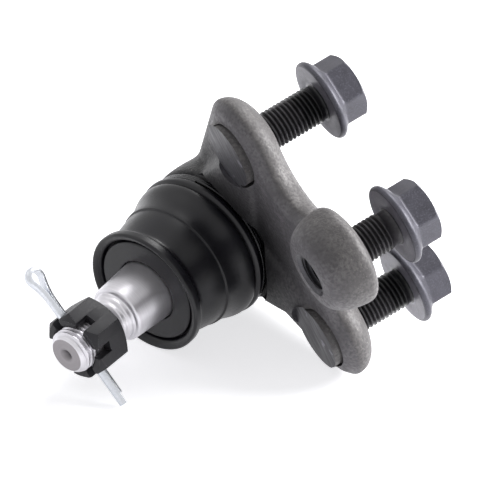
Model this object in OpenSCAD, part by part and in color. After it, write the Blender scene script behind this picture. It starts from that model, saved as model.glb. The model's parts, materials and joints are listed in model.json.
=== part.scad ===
// Suspension ball joint with a three-bolt forged flange.
// Frame: the origin is midway between the two side bolts, on the flange's arm face.
// +Z is the flange normal, towards the stud. +Y runs to the end bolt. The ball lies at -Y.
// Everything turned about the stud is drawn from the ball centre up the stud's own axis.

/* [Joint] */
// Lean of the socket and stud from the flange normal, towards the end bolt
stud_lean = 22; // [16:0.5:27]
// Height of the ball centre above the arm face
ball_height = 14; // [12:0.5:18]
// Distance of the ball centre from the line through the two side bolts
ball_setback = 39; // [36:0.5:46]
// Diameter of the ball
ball_d = 25; // [23:0.5:27]
// Gap of a sliding fit between the ball and its seats, on the radius
ball_gap = 0.05; // [0.03:0.01:0.08]
// Gap of every other fit between neighbouring pieces, on the radius
fit_gap = 0.05; // [0.03:0.01:0.1]

/* [Ball stud] */
// Ball centre to the end of the stud
stud_reach = 73.2; // [71:0.1:78]
// Nominal diameter of the stud's thread
stud_thread_d = 14; // [12:1:16]
// Length of thread measured from the end of the stud
stud_thread_len = 17.4; // [16:0.1:18]
// Ball centre to the small end of the taper
taper_top = 49.8; // [48:0.1:52]
// Diameter at the small end of the taper
taper_small_d = 18.1; // [17:0.1:20]
// Taper of the stud: length for one millimetre of diameter
taper_ratio = 8; // [7:0.5:12]
// Length of the taper
taper_len = 22; // [19:0.5:23]
// Diameter of the neck just above the ball
ball_neck_d = 14; // [12.5:0.5:14.5]
// Diameter of the waist between the taper and the thread
waist_d = 13.6; // [12:0.1:14]
// Axis of the cross hole for the cotter pin, over the floor of the nut's slots
cross_hole_up = 2; // [1.8:0.1:2.4]
// Diameter of the cross hole
cross_hole_d = 3.6; // [3.4:0.1:4]
// Diameter of the centre drilling in the end of the stud
centre_drill_d = 3.6; // [2:0.1:5]

/* [Castle nut] */
// Width across the flats of the nut
nut_flats = 20; // [19:0.1:24]
// Height of the nut
nut_h = 12.1; // [11.6:0.1:13]
// Ball centre to the underside of the nut
nut_base = 57.6; // [56.6:0.1:58.2]
// Width of the nut's slots
slot_w = 3.5; // [3.3:0.1:4]
// Depth of the nut's slots
slot_depth = 5.4; // [5:0.1:6]
// Turn of the nut and cotter pin about the stud
nut_turn = 45.3; // [0:0.1:60]

/* [Cotter pin] */
// Diameter of the folded pin
pin_d = 3; // [2.6:0.1:3.2]
// Length of the longer leg beyond the stud's axis
pin_long_leg = 22; // [18:0.5:28]
// How much shorter the other leg is
pin_leg_step = 3.4; // [2:0.1:6]
// Distance of the far side of the eye from the stud's axis
pin_eye_reach = 27.2; // [25:0.1:30]
// Outside width of the eye
pin_eye_w = 6.8; // [6:0.1:8]

/* [Socket] */
// Outside diameter of the socket at the boot's shoulder
socket_d = 46.2; // [44:0.2:50]
// Wall of the socket around the seats
seat_wall = 2.35; // [2:0.05:2.6]
// Ball centre up to the shoulder that the boot meets
shoulder_at = 5.6; // [5.2:0.1:5.8]
// Ball centre up to the rim of the socket's mouth
mouth_at = 10.4; // [10:0.1:11]
// Diameter of the socket's mouth at its narrowest
mouth_d = 23.6; // [23.2:0.1:24]
// Ball centre up to the underside of the mouth's lip
lip_under = 6.05; // [5.8:0.05:6.2]
// Diameter of the boot's seat around the socket's mouth
boot_seat_d = 39; // [37:0.5:40]
// Thickness of the closing plug
plug_t = 2; // [1.6:0.1:2.6]
// Height of the rolled rim that holds the plug
rim_h = 0.9; // [0.8:0.1:1.4]

/* [Seats and spring] */
// Wall under the ball at the bottom of the lower seat
lower_seat_floor = 1.1; // [1:0.1:1.4]
// Diameter of the grease hole in the lower seat
grease_hole_d = 8; // [6:0.5:9]
// Sheet thickness of the disc spring
spring_t = 0.6; // [0.5:0.05:0.8]
// Free rise of the disc spring's cone
spring_rise = 0.45; // [0.3:0.05:0.6]

/* [Dust boot] */
// Ball centre to the rim of the boot's flared lip
lip_at = 37.7; // [37.2:0.1:38]
// Diameter of the flared lip
lip_d = 40.4; // [39:0.2:42]
// Wall of the boot
boot_wall = 1.7; // [1.4:0.1:1.9]
// Wall of the boot's foot under the clamp ring
boot_foot_wall = 1.8; // [1.6:0.1:2]
// Diameter of the bead around the boot's lower end
bead_d = 46.6; // [46:0.2:49]
// Ball centre to the underside of that bead, over the clamp ring
bead_at = 9.5; // [9.4:0.1:9.8]
// Ball centre to the step around the boot's body
step_at = 23; // [22:0.1:24]
// Wire diameter of the two-turn clamp ring
clamp_wire_d = 1.5; // [1.4:0.1:1.6]

/* [Flange] */
// Distance between the two side bolts
side_bolt_pitch = 63; // [60:0.5:70]
// Distance of the end bolt from the line through the side bolts
end_bolt_out = 40; // [38:0.5:46]
// Greatest radius of each lobe
lobe_r = 16.2; // [15:0.1:18]
// Height of the lobes' forged face above the arm face
lobe_h = 12.2; // [11.5:0.1:12.6]
// Height of the round pads' trimmed faces above the arm face
pad_h = 14; // [13.6:0.1:15]
// Diameter of the round pads
pad_d = 20.8; // [19:0.2:23]
// Height of the end boss above the arm face
boss_h = 18.5; // [17:0.1:21]
// Greatest radius of the end boss
boss_r = 15.7; // [15:0.1:17]
// Radius of the end boss's flat face around its hole
boss_face_r = 9.3; // [8.5:0.1:10]
// Radius of the flat ring on the arm face around each bolt
arm_ring_r = 8; // [7.6:0.1:9]
// How much narrower the end arm is than its lobe, on each side
arm_waist = 1.6; // [0:0.1:2]
// Radius of the hollow between a side arm and the end arm, on the arm face
hollow_r = 9.3; // [9:0.1:10]
// Depth of the trimmed ditch around the boot, below the socket's shoulder
ditch_depth = 0.5; // [0.2:0.1:0.8]

/* [Flange bolts] */
// Nominal diameter of the flange bolts
bolt_d = 12; // [10:1:12]
// Length of the bolts under their heads
bolt_len = 25; // [24:0.5:27]
// Diameter of the bolts' flanges
bolt_flange_d = 25.6; // [24:0.2:27]
// Thickness of a bolt flange at its rim
bolt_flange_t = 1.8; // [1.4:0.1:2.2]
// Width across the flats of the bolt heads
bolt_flats = 18; // [17:0.1:19]
// Height of a bolt head over its bearing face
bolt_head_h = 11.8; // [11:0.1:13]
// Space left for the arm under the first side bolt's head
gap_first = 18.4; // [17:0.1:20]
// Space left for the arm under the second side bolt's head
gap_second = 17.2; // [17:0.1:20]
// Space left for the arm under the end bolt's head
gap_end = 10.5; // [9.5:0.1:12]
// Depth of the blind tapped holes from the arm face
blind_depth = 11.5; // [11:0.1:12]

/* [Hidden] */
$fn = 96;
hull_fn = 32;

ball_r = ball_d / 2;
seat_in_r = ball_r + ball_gap;
bore_r = seat_in_r + seat_wall;
socket_r = socket_d / 2;
mouth_r = mouth_d / 2;
boot_seat_r = boot_seat_d / 2;
seat_floor = -(seat_in_r - 0.3 + lower_seat_floor);
spring_top = seat_floor - fit_gap;
plug_top = spring_top - spring_t - spring_rise - fit_gap;
plug_under = plug_top - plug_t;
socket_under = plug_under - rim_h;
plug_r = bore_r + 1.1;
bolt_r = bolt_d / 2;
tapped_r = bolt_r + fit_gap;
side_x = side_bolt_pitch / 2;
taper_root = taper_top - taper_len;
thread_from = stud_reach - stud_thread_len;
cross_hole_at = nut_base + nut_h - slot_depth + cross_hole_up;
stud_thread_r = stud_thread_d / 2;
waist_r = waist_d / 2;
bead_r = bead_d / 2;
clamp_from = bead_at - 0.15 - 2 * clamp_wire_d;
clamp_seat_r = boot_seat_r + boot_foot_wall;
rim_z = 7.3;
front_round = 3;
eps = 0.01;

// Radius of the stud's taper at a distance from the ball centre
function taper_r(z) = taper_small_d / 2 + (taper_top - z) / (2 * taper_ratio);
// Height on the boot between its step and the rim of its lip, as a part of the way up
function upper_z(part) = step_at + part * (lip_at - step_at);
// Points of an elliptic arc
function arc(c, rx, ry, from, to, steps) =
    [for (i = [0:steps]) let (a = from + (to - from) * i / steps) [c[0] + rx * cos(a), c[1] + ry * sin(a)]];

// Puts its children at the ball centre, turned so that their Z is the stud's axis
module on_stud_axis() {
    translate([0, -ball_setback, ball_height]) rotate([-stud_lean, 0, 0]) children();
}
module at_first_bolt() { translate([-side_x, 0, 0]) children(); }
module at_second_bolt() { translate([side_x, 0, 0]) children(); }
module at_end_bolt() { translate([0, end_bolt_out, 0]) children(); }
module turned(points, fn = $fn) { rotate_extrude($fn = fn) polygon(points); }
module hexagon(flats, h) { cylinder(d = flats / cos(30), h = h, $fn = 6); }

// Outline of a forging from its flat on the arm face, out round the rear edge and rim, to its front face
function forged_edge(flat_r, h) = concat(
    arc([flat_r, rim_z], lobe_r - arm_ring_r, rim_z, -90, 0, 6),
    arc([flat_r + lobe_r - arm_ring_r - front_round, rim_z], front_round, h - rim_z, 18, 90, 4));

module forged_disc(flat_r, h, fn = $fn) { turned(concat([[0, 0]], forged_edge(flat_r, h), [[0, h]]), fn); }

// A side arm: the lobe's disc drawn out to the socket, which it meets at the height of the rim
module side_arm(side) {
    hull() {
        translate([side * side_x, 0, 0]) forged_disc(arm_ring_r, lobe_h, hull_fn);
        translate([0, -ball_setback - 2, 0]) forged_disc(socket_r - 9.4, rim_z + 1.2, hull_fn);
    }
}

// The end arm: a straight bar with the lobes' edge on both sides
module end_arm() {
    half = forged_edge(arm_ring_r - arm_waist, lobe_h);
    other = [for (i = [len(half) - 1:-1:0]) [-half[i][0], half[i][1]]];
    translate([0, end_bolt_out, 0]) rotate([90, 0, 0])
        linear_extrude(end_bolt_out + 12) polygon(concat(half, other));
}

// The web between the arms, hollowed at both corners so that the edge runs on from lobe to end arm
module corner_web() {
    corner_x = arm_ring_r - arm_waist + hollow_r;
    corner_y = sqrt(pow(arm_ring_r + hollow_r, 2) - pow(side_x - corner_x, 2));
    difference() {
        linear_extrude(lobe_h) polygon([[0, -ball_setback + 12], [side_x, 0], [corner_x, corner_y],
            [-corner_x, corner_y], [-side_x, 0]]);
        for (side = [-1, 1]) translate([side * corner_x, corner_y, 0]) turned(concat(
            [[0, -1], [hollow_r + 0.15, -1]],
            [for (p = forged_edge(0, lobe_h)) [hollow_r + 0.15 - p[0], p[1]]],
            [[hollow_r + 0.15 - lobe_r + arm_ring_r + front_round, lobe_h + 1], [0, lobe_h + 1]]));
    }
}

// The ridge of a side arm, from the socket's shoulder down to the inner half of the pad
module side_ridge(side) {
    hull() {
        translate([side * (side_x - 11), -4, 1]) cylinder(r1 = 7.5, r2 = 6, h = lobe_h, $fn = hull_fn);
        on_stud_axis() translate([0, 0, -10]) cylinder(r = socket_r - 2.2, h = 13, $fn = hull_fn);
    }
}

module socket_body() {
    on_stud_axis() turned(concat(
        [[0, socket_under], [plug_r - 0.8, socket_under]],
        arc([plug_r - 0.8, socket_under + 4.5], 4.6, 4.5, -90, 0, 5),
        [[socket_r - 1.5, -9], [socket_r - 0.3, -1.5], [socket_r, 2.5], [socket_r, shoulder_at - 1.3],
         [socket_r - 0.9, shoulder_at], [boot_seat_r, shoulder_at],
         [boot_seat_r, mouth_at - 0.8], [boot_seat_r - 0.8, mouth_at], [0, mouth_at]]));
}

module socket_cavity() {
    on_stud_axis() {
        turned([[0, plug_under], [plug_r, plug_under], [plug_r, plug_top], [bore_r, plug_top],
                [bore_r, lip_under], [mouth_r, lip_under], [mouth_r, mouth_at - 2.2],
                [mouth_r + 3.4, mouth_at + 1], [0, mouth_at + 1]]);
        translate([0, 0, socket_under - 8]) cylinder(r = plug_r - 1.5, h = plug_under - socket_under + 9);
    }
}

// Everything above the socket's shoulder, with the trimmed ditch around it, is left to the boot
module boot_room() {
    ditch_z = shoulder_at - ditch_depth;
    on_stud_axis() turned([[boot_seat_r, shoulder_at], [socket_r - 0.9, shoulder_at],
        [socket_r - 0.9 + ditch_depth * 0.7, ditch_z], [socket_r + 2.4, ditch_z], [socket_r + 4.4, ditch_z + 2],
        [socket_r + 4.4, lip_at], [0, lip_at], [0, mouth_at], [boot_seat_r - 0.8, mouth_at],
        [boot_seat_r, mouth_at - 0.8]]);
}

module round_pad() {
    translate([0, 0, lobe_h - 3]) turned([[0, 0], [pad_d / 2 - 0.4, 0], [pad_d / 2, 1.2],
        [pad_d / 2, pad_h - lobe_h + 2.7], [pad_d / 2 - 0.3, pad_h - lobe_h + 3], [0, pad_h - lobe_h + 3]]);
}

module pad_relief() {
    translate([0, 0, pad_h]) cylinder(d = pad_d + 0.6, h = 20);
}

module tapped_hole(depth) {
    translate([0, 0, -1]) cylinder(r = tapped_r, h = depth + 1);
    translate([0, 0, -eps]) cylinder(r1 = tapped_r + 0.9, r2 = tapped_r, h = 0.9);
}

// The end boss that stands up around the end bolt
module end_boss() {
    at_end_bolt() turned(concat([[0, 0]], arc([arm_ring_r, rim_z], boss_r - arm_ring_r, rim_z, -90, 0, 6),
        arc([boss_face_r, boss_h - 7], boss_r - boss_face_r, 7, 10, 90, 6), [[0, boss_h]]));
}

module housing() {
    color("dimgray") difference() {
        union() {
            socket_body();
            end_arm();
            corner_web();
            for (side = [-1, 1]) {
                side_arm(side);
                side_ridge(side);
                translate([side * side_x, 0, 0]) round_pad();
            }
            end_boss();
        }
        translate([-100, -ball_setback / 2 - 1, -50]) cube([200, 200, 50]);
        for (side = [-1, 1]) translate([side * side_x, 0, 0]) {
            pad_relief();
            tapped_hole(blind_depth);
        }
        at_end_bolt() {
            tapped_hole(boss_h + 2);
            translate([0, 0, boss_h - 0.9]) cylinder(r1 = tapped_r, r2 = tapped_r + 1.9, h = 1.9);
        }
        boot_room();
        socket_cavity();
    }
}

module closing_plug() {
    color("gray") on_stud_axis() turned([[0, plug_under + 0.5], [4.5, plug_under + 0.5],
        [5.5, plug_under + fit_gap], [plug_r - fit_gap, plug_under + fit_gap],
        [plug_r - fit_gap, plug_top - fit_gap], [0, plug_top - fit_gap]]);
}

module upper_seat() {
    color("ivory") on_stud_axis() difference() {
        turned([[mouth_r - 1.5, fit_gap], [bore_r - fit_gap, fit_gap],
                [bore_r - fit_gap, lip_under - fit_gap], [mouth_r - 1.5, lip_under - fit_gap]]);
        sphere(r = seat_in_r);
    }
}

module lower_seat() {
    color("ivory") on_stud_axis() difference() {
        turned([[0, seat_floor], [bore_r - 3, seat_floor], [bore_r - fit_gap, seat_floor + 3],
                [bore_r - fit_gap, -fit_gap], [0, -fit_gap]]);
        sphere(r = seat_in_r);
        translate([0, 0, seat_floor - 1]) cylinder(d = grease_hole_d, h = 6);
        for (turn = [0:60:300]) rotate([0, 0, turn]) translate([seat_in_r - 0.2, 0, -10])
            cylinder(r = 0.9, h = 12, $fn = 24);
    }
}

module disc_spring() {
    inner = 6.2;
    outer = bore_r - 3.2;
    color("silver") on_stud_axis() turned([[inner, spring_top - spring_t],
        [outer, spring_top - spring_t - spring_rise], [outer, spring_top - spring_rise], [inner, spring_top]]);
}

module ball_stud() {
    neck_r = ball_neck_d / 2;
    neck_z = sqrt(ball_r * ball_r - neck_r * neck_r);
    root_r = taper_r(taper_root);
    color("lightsteelblue") on_stud_axis() difference() {
        union() {
            intersection() {
                sphere(r = ball_r);
                translate([0, 0, 0.3 - ball_r]) cylinder(r = ball_r + 1, h = 2 * ball_r);
            }
            turned([[0, 0], [neck_r, 0], [neck_r, neck_z + 5], [root_r - 0.8, taper_root - 4],
                [root_r, taper_root - 2.5], [root_r, taper_root], [taper_r(taper_top - 0.5), taper_top - 0.5],
                [taper_r(taper_top) - 0.5, taper_top + 0.3], [stud_thread_r + 0.75, taper_top + 1.9],
                [waist_r + 0.3, taper_top + 2.9], [waist_r, taper_top + 3.4], [waist_r, taper_top + 4.3],
                [stud_thread_r - 0.1, taper_top + 4.9], [stud_thread_r, thread_from],
                [stud_thread_r, stud_reach - 1.9], [stud_thread_r - 1.5, stud_reach], [0, stud_reach]]);
        }
        translate([0, 0, cross_hole_at]) rotate([0, 0, nut_turn - 30]) rotate([0, 90, 0])
            translate([0, 0, -20]) cylinder(d = cross_hole_d, h = 40);
        translate([0, 0, stud_reach - 1.6]) cylinder(r1 = 0.2, r2 = centre_drill_d / 2 + 0.2, h = 1.8);
    }
}

module castle_nut() {
    corner_r = nut_flats / 2 / cos(30);
    color("darkslategray") on_stud_axis() translate([0, 0, nut_base]) rotate([0, 0, nut_turn]) difference() {
        intersection() {
            hexagon(nut_flats, nut_h);
            turned([[0, 0], [corner_r - 1.3, 0], [corner_r, 0.7], [corner_r, nut_h - 1.9],
                    [nut_flats / 2 - 0.3, nut_h], [0, nut_h]]);
        }
        translate([0, 0, -1]) cylinder(r = stud_thread_r + fit_gap, h = nut_h + 2);
        translate([0, 0, nut_h - 1])
            cylinder(r1 = stud_thread_r + fit_gap, r2 = stud_thread_r + 1.1, h = 1 + eps);
        for (turn = [30:60:150]) rotate([0, 0, turn])
            translate([-20, -slot_w / 2, nut_h - slot_depth]) cube([40, slot_w, slot_depth + 1]);
    }
}

// The pin lies along X from its eye at -X, with the eye's plane along the stud
module cotter_pin() {
    wire = pin_d / 2;
    eye_r = pin_eye_w / 2;
    eye_x = -pin_eye_reach + eye_r;
    neck_x = eye_x + eye_r + 5;
    color("gainsboro") on_stud_axis() translate([0, 0, cross_hole_at]) rotate([0, 0, nut_turn - 30]) {
        rotate([90, 0, 0]) translate([0, 0, -pin_d * 0.4]) linear_extrude(pin_d * 0.8) {
            difference() {
                union() {
                    translate([eye_x, 0]) circle(r = eye_r);
                    polygon([[eye_x + 1, eye_r - 0.15], [neck_x, wire * 0.9], [neck_x, -wire * 0.9],
                             [eye_x + 1, 0.15 - eye_r]]);
                }
                translate([eye_x, 0]) circle(r = eye_r - wire);
                polygon([[eye_x + 1, eye_r - wire - 0.25], [neck_x - 1.5, 0.06], [neck_x - 1.5, -0.06],
                         [eye_x + 1, wire + 0.25 - eye_r]]);
            }
        }
        difference() {
            translate([neck_x - 1, 0, 0]) rotate([0, 90, 0]) cylinder(d = pin_d, h = pin_long_leg - neck_x + 1);
            translate([neck_x - 0.4, -5, -0.06]) cube([60, 10, 0.12]);
            translate([pin_long_leg - pin_leg_step, -5, -5]) cube([20, 10, 5]);
        }
    }
}

// Boot outline from its end bead up the outside to the lip, across the mouth and down the inside
module dust_boot() {
    gap = 0.15;
    mouth_z = lip_at - 1.8;
    ring_top = mouth_z - 1.2;
    hold_r = taper_r(ring_top) + 0.3;
    lip_r = lip_d / 2;
    seat_r = boot_seat_r + gap;
    body_at = bead_at + 3.2;
    step_r = bead_r - 2.7;
    neck_r = step_r - 2.15;
    color("black") on_stud_axis() turned(concat(
        [[seat_r, shoulder_at + gap], [bead_r - 0.9, shoulder_at + gap], [bead_r - 0.8, clamp_from - 0.2],
         [bead_r - 1, clamp_from - 0.1], [clamp_seat_r, clamp_from - 0.1], [clamp_seat_r, bead_at - 0.1],
         [bead_r - 0.7, bead_at - 0.1]],
        arc([bead_r - 0.9, bead_at + 1.1], 0.9, 1.2, -70, 60, 5),
        [[bead_r - 1.1, body_at - 0.8], [bead_r - 1, body_at - 0.4], [bead_r - 0.4, body_at]],
        arc([bead_r - 1.6, body_at + 1.2], 1.3, 1.3, -30, 60, 3),
        [[bead_r - 1.5, step_at - 7], [bead_r - 2.2, step_at - 5], [step_r, step_at - 1.3],
         [step_r - 0.1, step_at - 0.2], [step_r - 0.45, step_at], [step_r - 0.8, upper_z(0.2)],
         [step_r - 1.5, upper_z(0.37)], [neck_r, upper_z(0.52)]],
        arc([neck_r + 1.75, upper_z(0.65)], 1.85, 2, 200, 130, 3),
        [[lip_r - 0.7, lip_at - 2], [lip_r, lip_at - 0.5], [lip_r - 0.3, lip_at], [lip_r - 1.3, lip_at - 0.1],
         [lip_r - 2.6, lip_at - 1.2], [lip_r - 3.4, mouth_z - 0.5], [lip_r - 3.9, mouth_z],
         [hold_r + 2.2, mouth_z + 0.3], [hold_r, mouth_z + 0.9],
         [hold_r, ring_top - 0.2], [hold_r + 0.9, ring_top - 0.4], [hold_r + 0.9, ring_top - 3.6],
         [hold_r + 0.3, ring_top - 3.8], [hold_r + 0.3, ring_top - 4.6], [neck_r - boot_wall, upper_z(0.45)],
         [step_r - 0.9 - boot_wall, upper_z(0.17)], [step_r - 0.3 - boot_wall, step_at - 1.4],
         [step_r + 0.4 - boot_wall, step_at - 6.6], [seat_r, mouth_at + 1.3]]));
}

module boot_end_ring() {
    ring_top = lip_at - 3.4;
    hold_r = taper_r(lip_at - 3) + 0.3;
    color("dimgray") on_stud_axis() turned([[hold_r + 0.1, ring_top - 3.2], [hold_r + 0.8, ring_top - 3.2],
        [hold_r + 0.8, ring_top], [hold_r + 0.1, ring_top]]);
}

module boot_clamp_ring() {
    wire_r = clamp_wire_d / 2;
    at_r = clamp_seat_r + wire_r + 0.1;
    color("black") on_stud_axis() for (coil = [0, 1])
        translate([0, 0, clamp_from + wire_r + coil * (clamp_wire_d - 0.05)])
            rotate_extrude() translate([at_r, 0]) circle(d = clamp_wire_d, $fn = 24);
}

// A flange bolt with its bearing face at Z = -gap and its shank up into the flange
module flange_bolt(gap, turn, plain_len) {
    corner_r = bolt_flats / 2 / cos(30);
    flange_r = bolt_flange_d / 2;
    color("slategray") translate([0, 0, -gap]) {
        turned([[0, 0], [bolt_r - 0.45, 0], [bolt_r - 0.45, plain_len], [bolt_r, plain_len + 0.45],
            [bolt_r, bolt_len - 1.4], [bolt_r - 1.4, bolt_len], [0, bolt_len]]);
        mirror([0, 0, 1]) {
            turned([[0, 0], [flange_r - 0.4, 0], [flange_r, 0.4], [flange_r, bolt_flange_t - 0.3],
                [flange_r - 0.5, bolt_flange_t], [corner_r - 0.3, bolt_flange_t + 2.1], [0, bolt_flange_t + 2.1]]);
            rotate([0, 0, -turn]) intersection() {
                hexagon(bolt_flats, bolt_head_h);
                turned([[0, 0], [corner_r, 0], [corner_r, bolt_head_h - 1.4], [corner_r - 2.2, bolt_head_h],
                        [0, bolt_head_h]]);
            }
        }
    }
}
module flange_bolt_first() { at_first_bolt() flange_bolt(gap_first, 7, 1.2); }
module flange_bolt_second() { at_second_bolt() flange_bolt(gap_second, 46, 1.2); }
module flange_bolt_end() { at_end_bolt() flange_bolt(gap_end, 4, 2.6); }

housing();
closing_plug();
upper_seat();
lower_seat();
disc_spring();
ball_stud();
dust_boot();
boot_end_ring();
boot_clamp_ring();
castle_nut();
cotter_pin();
flange_bolt_first();
flange_bolt_second();
flange_bolt_end();
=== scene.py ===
"""Suspension ball joint with a three-bolt forged flange: its looks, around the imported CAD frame."""
import json
import math

import bmesh
import bpy
import numpy as np
from bpy.props import FloatProperty, FloatVectorProperty, IntProperty, PointerProperty
from mathutils import Matrix, Vector

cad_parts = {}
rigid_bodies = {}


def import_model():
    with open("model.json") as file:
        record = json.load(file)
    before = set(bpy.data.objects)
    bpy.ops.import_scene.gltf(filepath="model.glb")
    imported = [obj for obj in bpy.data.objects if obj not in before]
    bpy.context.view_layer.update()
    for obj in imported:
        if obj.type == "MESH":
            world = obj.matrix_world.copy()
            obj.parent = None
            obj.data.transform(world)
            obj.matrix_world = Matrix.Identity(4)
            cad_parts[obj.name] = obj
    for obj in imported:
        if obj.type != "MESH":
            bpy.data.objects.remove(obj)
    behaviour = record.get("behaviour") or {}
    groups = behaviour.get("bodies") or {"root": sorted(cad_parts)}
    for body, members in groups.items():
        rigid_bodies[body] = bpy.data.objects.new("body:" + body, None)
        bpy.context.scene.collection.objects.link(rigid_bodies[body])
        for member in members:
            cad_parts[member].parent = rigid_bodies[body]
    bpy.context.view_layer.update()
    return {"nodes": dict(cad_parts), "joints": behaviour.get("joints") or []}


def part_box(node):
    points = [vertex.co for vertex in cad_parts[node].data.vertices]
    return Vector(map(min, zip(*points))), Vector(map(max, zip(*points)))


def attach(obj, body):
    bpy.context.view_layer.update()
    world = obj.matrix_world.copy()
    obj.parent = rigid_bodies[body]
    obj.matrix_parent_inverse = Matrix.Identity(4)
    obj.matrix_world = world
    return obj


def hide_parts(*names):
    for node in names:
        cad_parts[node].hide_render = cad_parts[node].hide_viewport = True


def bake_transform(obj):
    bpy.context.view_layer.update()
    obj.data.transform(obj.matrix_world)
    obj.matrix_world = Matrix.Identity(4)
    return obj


bl_info = {
    "name": "Suspension ball joint",
    "version": (1, 0, 0),
    "blender": (4, 5, 0),
    "location": "3D View > Sidebar > Ball Joint",
    "description": "Forging, boot, stud, nut, pin and bolts of a ball joint, each with its real finish",
    "category": "Object",
}

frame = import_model()
joints = {joint["name"]: joint for joint in frame["joints"]}

MM = 0.001
TURN = 2 * math.pi
SMOOTH_ANGLE = math.radians(32)
# Core radius of the tapped M12 holes, and the chamfered mouth they have on the arm face, in millimetres.
HOLE_R = 6.05
HOLE_MOUTH = [(0, -1), (HOLE_R + 0.9, -1), (HOLE_R + 0.9, 0.05), (HOLE_R, 0.95)]
ball_centre = Vector(joints["stud_turn"]["pos_m"]) / MM
stud_axis = Vector(joints["stud_turn"]["axis"]).normalized()


def node_span(node):
    """Lowest and highest corner of a CAD node, in millimetres."""
    low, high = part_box(node)
    return Vector(low) / MM, Vector(high) / MM


def linear(hex_colour):
    """Linear RGBA of an sRGB hex value such as #4a494b."""
    parts = [int(hex_colour[i:i + 2], 16) / 255 for i in (1, 3, 5)]
    return tuple(p / 12.92 if p <= 0.04045 else ((p + 0.055) / 1.055) ** 2.4 for p in parts) + (1.0,)


def per_mm(size):
    """Texture scale, on Object coordinates in metres, whose pattern repeats about every size millimetres."""
    return 1 / (size * MM)


def colour_prop(name, description, hex_colour):
    return FloatVectorProperty(name=name, description=description, subtype="COLOR", size=4,
                               min=0, max=1, default=linear(hex_colour))


def length_prop(name, description, millimetres, low=0.0, high=200.0):
    description += ", in mm"
    return FloatProperty(name=name, description=description, default=millimetres, min=low, max=high)


class ForgingLook(bpy.types.PropertyGroup):
    """Sizes in millimetres and colours of the forged housing."""
    voxel: length_prop("Skin step", "Size of the voxels that the forging's skin is drawn with", 0.62, 0.3, 3)
    crease_rounds: IntProperty(name="Crease rounds", description="How far creases fill up into fillets",
                               default=14, min=0, max=200)
    pad_height: length_prop("Pad height", "Trimmed face of the pads above the arm face", 14)
    pad_diameter: length_prop("Pad diameter", "Diameter of the round pads", 20.8)
    lobe_height: length_prop("Lobe height", "Forged face of the lobes above the arm face", 11.3)
    lobe_radius: length_prop("Lobe radius", "Greatest radius of the side lobes", 15.9)
    boss_radius: length_prop("Boss radius", "Greatest radius of the end boss", 15.5)
    hollow_radius: length_prop("Hollow radius", "Hollow between a lobe and the boss, at the rim", 12.2)
    socket_radius: length_prop("Socket reach", "How far the flange runs round the socket", 21.6)
    edge_width: length_prop("Rolled edge", "Width of the rounded rear edge", 11.7)
    rim_height: length_prop("Rim height", "Widest part of the edge above the arm face", 7.8)
    front_chamfer: length_prop("Front chamfer", "Width of the chamfered front edge", 2.8)
    boss_rear: length_prop("Boss rear", "Rear of the end boss above the arm face", 2)
    boss_height: length_prop("Boss height", "End boss above the arm face", 18.5)
    skin: colour_prop("Skin", "Phosphated forging skin", "#757276")
    # Painted light: sideways-facing surfaces, the rolled edges, take this colour in place of the skin for the
    # lamps' light on them.
    rim: colour_prop("Rim", "Skin on the rolled edges, lighter from handling", "#767373")
    rubbed: colour_prop("Rubbed", "Bare specks on edges that handling has rubbed", "#9a9792")
    # Oil and painted shade: the skin within reach of the boot darkens to this, for oil and for the shade
    # under the boot.
    oil_and_shade: colour_prop("Oiled", "Skin near the boot, dark with oil", "#1f1e21")
    trimmed: colour_prop("Trimmed", "Sheared and ground steel of pads and faces", "#3b3a3f")


class StudLook(bpy.types.PropertyGroup):
    """Sizes in millimetres and colours of the ball stud."""
    reach: length_prop("Reach", "Ball centre to the end of the stud", 73.2)
    ball_diameter: length_prop("Ball diameter", "Diameter of the ball", 25)
    thread_diameter: length_prop("Thread diameter", "Nominal diameter of the thread", 14)
    thread_from: length_prop("Thread start", "Ball centre to the first thread", 54.9)
    pitch: length_prop("Pitch", "Thread pitch", 1.5)
    taper_top: length_prop("Taper top", "Ball centre to the small end of the taper", 49.8)
    cross_hole_at: length_prop("Cross hole", "Ball centre to the cotter pin's hole", 66.3)
    steel: colour_prop("Steel", "Ground steel of the taper", "#dedce1")
    end_face: colour_prop("End face", "Turned end of the stud", "#9c989b")


class NutLook(bpy.types.PropertyGroup):
    """Sizes in millimetres and colours of the castle nut and its pin."""
    flats: length_prop("Flats", "Width across the flats", 20)
    height: length_prop("Height", "Height of the nut", 12.1)
    base: length_prop("Base", "Ball centre to the underside of the nut", 57.6)
    slot_width: length_prop("Slot width", "Width of the slots", 3.5)
    slot_depth: length_prop("Slot depth", "Depth of the slots", 5.4)
    turn: FloatProperty(name="Turn", description="Turn of the nut about the stud", subtype="ANGLE",
                        default=math.radians(45.3))
    phosphate: colour_prop("Phosphate", "Dark phosphate on the nut", "#1f1e23")
    edge: colour_prop("Edge", "Steel that shows along the nut's edges", "#a9a7ad")
    pin_diameter: length_prop("Pin diameter", "Diameter of the folded pin", 3)
    pin_long_leg: length_prop("Pin leg", "Longer leg beyond the stud's axis", 22)
    pin_leg_step: length_prop("Pin leg step", "How much shorter the other leg is", 3.4)
    pin_eye_reach: length_prop("Pin eye reach", "Far side of the eye from the stud's axis", 27.2)
    zinc: colour_prop("Zinc", "Bright zinc of the cotter pin", "#d3d6dc")


class BootLook(bpy.types.PropertyGroup):
    """Sizes in millimetres and colours of the dust boot."""
    around: IntProperty(name="Around", description="Steps around the boot", default=168, min=24, max=400)
    rubber: colour_prop("Rubber", "Moulded rubber", "#0d0c12")
    bloom: colour_prop("Bloom", "Faint grey bloom on the rubber", "#17161d")
    wire: colour_prop("Wire", "Black oxide of the clamp ring", "#161619")
    wire_diameter: length_prop("Wire diameter", "Wire of the two-turn clamp ring", 1.5)


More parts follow.
